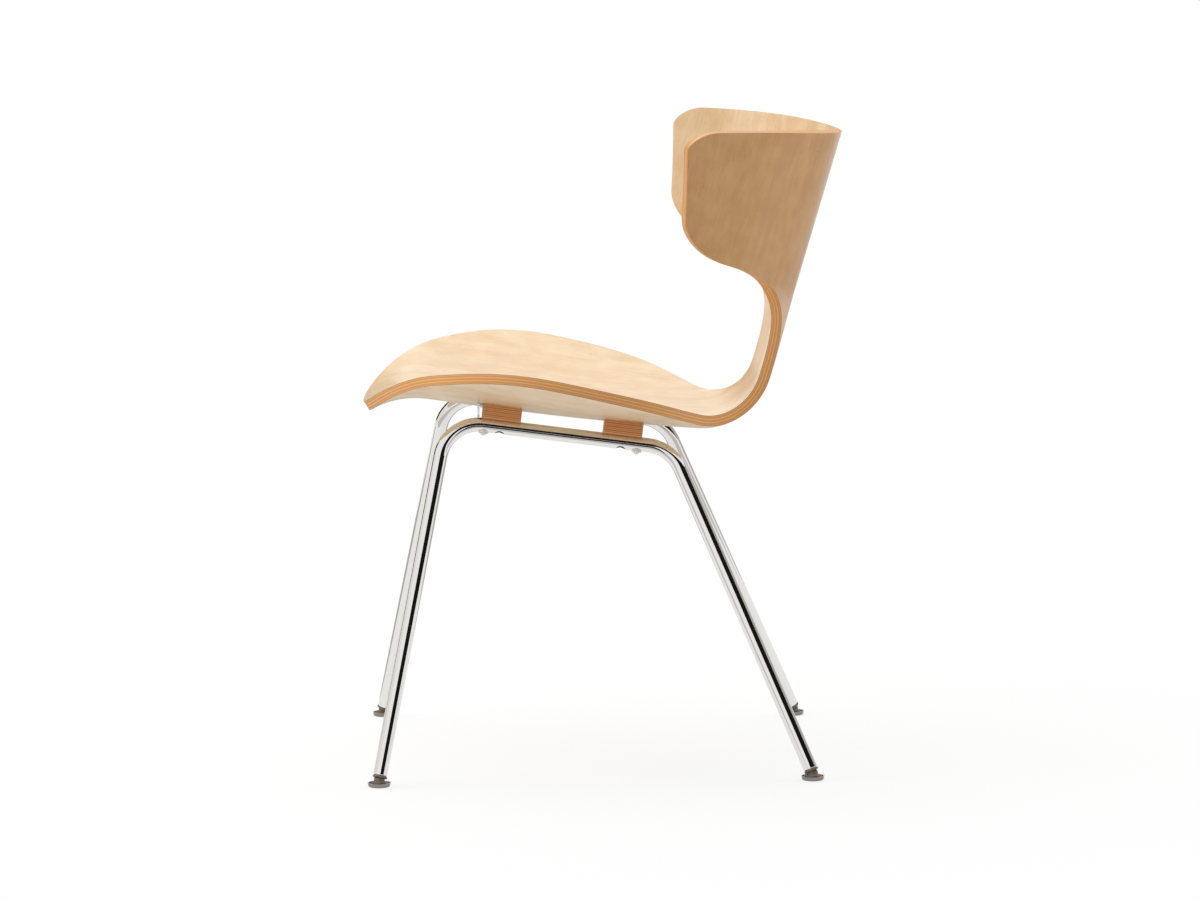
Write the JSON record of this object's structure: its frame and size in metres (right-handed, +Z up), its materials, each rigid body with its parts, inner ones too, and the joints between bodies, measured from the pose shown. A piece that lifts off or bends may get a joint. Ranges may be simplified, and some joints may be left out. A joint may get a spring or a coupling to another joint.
{
  "type": "stacking chair",
  "caption": "Stacking side chair: a moulded plywood shell forms the seat and winged back, on bent chrome tube side frames with tilting glides.",
  "frame": {"origin": "middle of the overall width and depth, on the floor", "axes": "+Z up, the sitter faces -Y, +X is the sitter's left"},
  "size_m": [0.4992, 0.5454, 0.7218],
  "materials": {
    "shell_plywood": "clear satin lacquer on pale maple veneer",
    "spacer_plywood": "cut plywood edges, clear lacquer",
    "tube_chrome": "polished chrome plate",
    "brace_chrome": "polished chrome plate",
    "screw_steel": "zinc plate",
    "insert_brass": "plain brass",
    "bumper_plastic": "cloudy translucent plastic",
    "glide_plastic": "smoky brown moulded plastic",
    "stud_steel": "turned steel",
    "shoe_steel": "pressed steel, nickel plate"
  },
  "bodies": {
    "chair": {"seat_shell": "shell_plywood", "side_frame_left": "tube_chrome", "side_frame_right": "tube_chrome", "front_cross_brace": "brace_chrome", "spacer_front_left": "spacer_plywood", "frame_screw_front_left": "screw_steel", "saddle_washer_front_left": "screw_steel", "threaded_insert_front_left": "insert_brass", "stack_bumper_front_left": "bumper_plastic", "glide_plug_front_left": "glide_plastic", "spacer_rear_left": "spacer_plywood", "frame_screw_rear_left": "screw_steel", "saddle_washer_rear_left": "screw_steel", "threaded_insert_rear_left": "insert_brass", "stack_bumper_rear_left": "bumper_plastic", "glide_plug_rear_left": "glide_plastic", "spacer_front_right": "spacer_plywood", "frame_screw_front_right": "screw_steel", "saddle_washer_front_right": "screw_steel", "threaded_insert_front_right": "insert_brass", "stack_bumper_front_right": "bumper_plastic", "glide_plug_front_right": "glide_plastic", "spacer_rear_right": "spacer_plywood", "frame_screw_rear_right": "screw_steel", "saddle_washer_rear_right": "screw_steel", "threaded_insert_rear_right": "insert_brass", "stack_bumper_rear_right": "bumper_plastic", "glide_plug_rear_right": "glide_plastic"},
    "stud_front_left": {"glide_stud_front_left": "stud_steel"},
    "pad_front_left": {"glide_socket_front_left": "glide_plastic", "glide_shoe_front_left": "shoe_steel"},
    "stud_rear_left": {"glide_stud_rear_left": "stud_steel"},
    "pad_rear_left": {"glide_socket_rear_left": "glide_plastic", "glide_shoe_rear_left": "shoe_steel"},
    "stud_front_right": {"glide_stud_front_right": "stud_steel"},
    "pad_front_right": {"glide_socket_front_right": "glide_plastic", "glide_shoe_front_right": "shoe_steel"},
    "stud_rear_right": {"glide_stud_rear_right": "stud_steel"},
    "pad_rear_right": {"glide_socket_rear_right": "glide_plastic", "glide_shoe_rear_right": "shoe_steel"}
  },
  "joints": [
    {"name": "glide_swivel_front_left", "type": "hinge", "parent": "chair", "child": "stud_front_left", "pos_m": [0.2366, -0.25574, 0.007], "axis": [-0.2709, 0.1906, 0.9435], "continuous": true},
    {"name": "glide_tilt_front_left", "type": "hinge", "parent": "stud_front_left", "child": "pad_front_left", "pos_m": [0.2366, -0.25574, 0.007], "axis": [0.5755, 0.8178, 0], "range_deg": [-48.8, 10.2]},
    {"name": "glide_swivel_rear_left", "type": "hinge", "parent": "chair", "child": "stud_rear_left", "pos_m": [0.21863, 0.22721, 0.007], "axis": [-0.2352, -0.3849, 0.8925], "continuous": true},
    {"name": "glide_tilt_rear_left", "type": "hinge", "parent": "stud_rear_left", "child": "pad_rear_left", "pos_m": [0.21863, 0.22721, 0.007], "axis": [-0.8533, 0.5214, 0], "range_deg": [-56.3, 2.7]},
    {"name": "glide_swivel_front_right", "type": "hinge", "parent": "chair", "child": "stud_front_right", "pos_m": [-0.2366, -0.25574, 0.007], "axis": [0.2709, 0.1906, 0.9435], "continuous": true},
    {"name": "glide_tilt_front_right", "type": "hinge", "parent": "stud_front_right", "child": "pad_front_right", "pos_m": [-0.2366, -0.25574, 0.007], "axis": [0.5755, -0.8178, 0], "range_deg": [-48.8, 10.2]},
    {"name": "glide_swivel_rear_right", "type": "hinge", "parent": "chair", "child": "stud_rear_right", "pos_m": [-0.21863, 0.22721, 0.007], "axis": [0.2352, -0.3849, 0.8925], "continuous": true},
    {"name": "glide_tilt_rear_right", "type": "hinge", "parent": "stud_rear_right", "child": "pad_rear_right", "pos_m": [-0.21863, 0.22721, 0.007], "axis": [-0.8533, -0.5214, 0], "range_deg": [-56.3, 2.7]}
  ]
}
